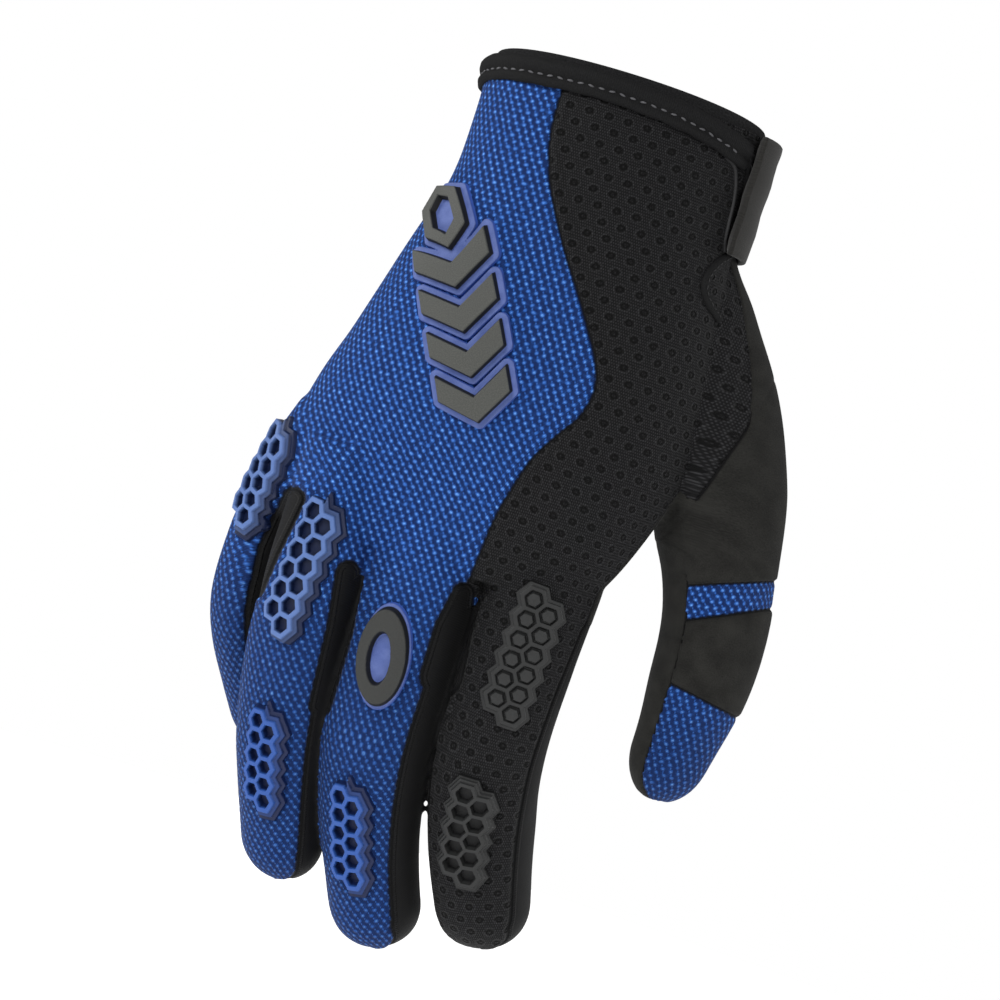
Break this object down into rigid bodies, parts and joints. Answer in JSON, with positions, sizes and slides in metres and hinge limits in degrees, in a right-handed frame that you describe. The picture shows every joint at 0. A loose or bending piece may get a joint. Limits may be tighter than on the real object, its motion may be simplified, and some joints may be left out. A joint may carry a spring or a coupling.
{
  "type": "off-road riding glove",
  "caption": "Right-hand long-finger riding glove with mesh back, suede palm, moulded honeycomb knuckle guards, hinged finger stalls and a peel-open wrist strap.",
  "frame": {"origin": "centre of the wrist opening, level with the top edge of the back panels", "axes": "+Z out of the cuff along the forearm, fingers point down -Z; +X is the thumb side; -Y is the back of the hand and +Y the palm"},
  "size_m": [0.1238, 0.0643, 0.1978],
  "materials": {
    "blue_mesh": "coarse basket-weave stretch mesh",
    "black_mesh": "spacer mesh with round air holes",
    "black_suede": "matte synthetic suede",
    "black_lycra": "smooth stretch knit",
    "binding_elastic": "ribbed elastic tape",
    "hook_and_loop": "loop pile",
    "blue_rubber": "satin moulded rubber",
    "grey_rubber": "matte moulded rubber",
    "black_rubber": "satin moulded rubber"
  },
  "bodies": {
    "hand": {"hand_back_blue": "blue_mesh", "hand_back_black": "black_mesh", "hand_palm": "black_suede", "cuff_binding": "binding_elastic", "finger_webbing": "black_lycra", "loop_patch": "hook_and_loop", "thumb_base_back": "black_suede", "thumb_base_palm": "black_suede", "badge_plate": "blue_rubber", "badge_raised_1": "grey_rubber", "badge_raised_2": "grey_rubber", "badge_raised_3": "grey_rubber", "badge_raised_4": "grey_rubber", "badge_raised_5": "grey_rubber", "index_collar": "black_lycra", "middle_collar": "black_lycra", "ring_collar": "black_lycra", "little_collar": "black_lycra", "index_knuckle_pad_upper": "black_rubber", "ring_knuckle_pad_upper": "blue_rubber", "little_knuckle_pad_upper": "blue_rubber"},
    "strap": {"closure_strap": "black_suede"},
    "index_near": {"index_near_back": "black_mesh", "index_near_inner_side": "black_lycra", "index_near_outer_side": "black_lycra", "index_near_palm": "black_suede", "index_knuckle_pad": "black_rubber"},
    "index_far": {"index_far_back": "black_mesh", "index_far_wrap": "black_suede", "index_tip_pad": "black_rubber"},
    "middle_near": {"middle_near_back": "blue_mesh", "middle_near_inner_side": "black_lycra", "middle_near_outer_side": "black_lycra", "middle_near_palm": "black_suede", "emblem_plate": "blue_rubber", "emblem_raised": "grey_rubber"},
    "middle_far": {"middle_far_back": "blue_mesh", "middle_far_wrap": "black_suede", "middle_tip_pad": "blue_rubber"},
    "ring_near": {"ring_near_back": "blue_mesh", "ring_near_inner_side": "black_lycra", "ring_near_outer_side": "black_lycra", "ring_near_palm": "black_suede", "ring_knuckle_pad": "blue_rubber"},
    "ring_far": {"ring_far_back": "blue_mesh", "ring_far_wrap": "black_suede", "ring_tip_pad": "blue_rubber"},
    "little_near": {"little_near_back": "blue_mesh", "little_near_inner_side": "black_lycra", "little_near_outer_side": "black_lycra", "little_near_palm": "black_suede", "little_knuckle_pad": "blue_rubber"},
    "little_far": {"little_far_back": "blue_mesh", "little_far_wrap": "black_suede"},
    "thumb_near": {"thumb_band": "blue_mesh", "thumb_knuckle_back": "black_suede", "thumb_near_palm": "black_suede"},
    "thumb_far": {"thumb_tip_back": "blue_mesh", "thumb_tip_palm": "black_suede"}
  },
  "joints": [
    {"name": "index_root_bend", "type": "hinge", "parent": "hand", "child": "index_near", "pos_m": [0.0127, 0, -0.114], "axis": [0.9205, -0.3907, 0], "range_deg": [-10, 35]},
    {"name": "index_knuckle_bend", "type": "hinge", "parent": "index_near", "child": "index_far", "pos_m": [0.0124, 0.004, -0.143], "axis": [0.9205, -0.3907, 0], "range_deg": [-10, 45]},
    {"name": "middle_root_bend", "type": "hinge", "parent": "hand", "child": "middle_near", "pos_m": [-0.0134, 0.001, -0.116], "axis": [0.9336, -0.3584, 0], "range_deg": [-10, 45]},
    {"name": "middle_knuckle_bend", "type": "hinge", "parent": "middle_near", "child": "middle_far", "pos_m": [-0.0125, 0.005, -0.1475], "axis": [0.9336, -0.3584, 0], "range_deg": [-10, 50]},
    {"name": "ring_root_bend", "type": "hinge", "parent": "hand", "child": "ring_near", "pos_m": [-0.0366, 0.0044, -0.116], "axis": [0.8746, -0.4848, 0], "range_deg": [-10, 20]},
    {"name": "ring_knuckle_bend", "type": "hinge", "parent": "ring_near", "child": "ring_far", "pos_m": [-0.0356, 0.009, -0.142], "axis": [0.8746, -0.4848, 0], "range_deg": [-10, 30]},
    {"name": "little_root_bend", "type": "hinge", "parent": "hand", "child": "little_near", "pos_m": [-0.0495, 0.0175, -0.107], "axis": [0.7431, -0.6691, 0], "range_deg": [-10, 50]},
    {"name": "little_knuckle_bend", "type": "hinge", "parent": "little_near", "child": "little_far", "pos_m": [-0.048, 0.023, -0.128], "axis": [0.7431, -0.6691, 0], "range_deg": [-10, 60]},
    {"name": "thumb_root_bend", "type": "hinge", "parent": "hand", "child": "thumb_near", "pos_m": [0.0514, 0.0098, -0.0975], "axis": [0.866, 0.5, 0], "range_deg": [-8, 40]},
    {"name": "thumb_knuckle_bend", "type": "hinge", "parent": "thumb_near", "child": "thumb_far", "pos_m": [0.052, 0.012, -0.12], "axis": [0.866, 0.5, 0], "range_deg": [-8, 40]},
    {"name": "strap_peel", "type": "hinge", "parent": "hand", "child": "strap", "pos_m": [0.0286, -0.0111, -0.01175], "axis": [0, 0, -1], "range_deg": [0, 100]}
  ]
}
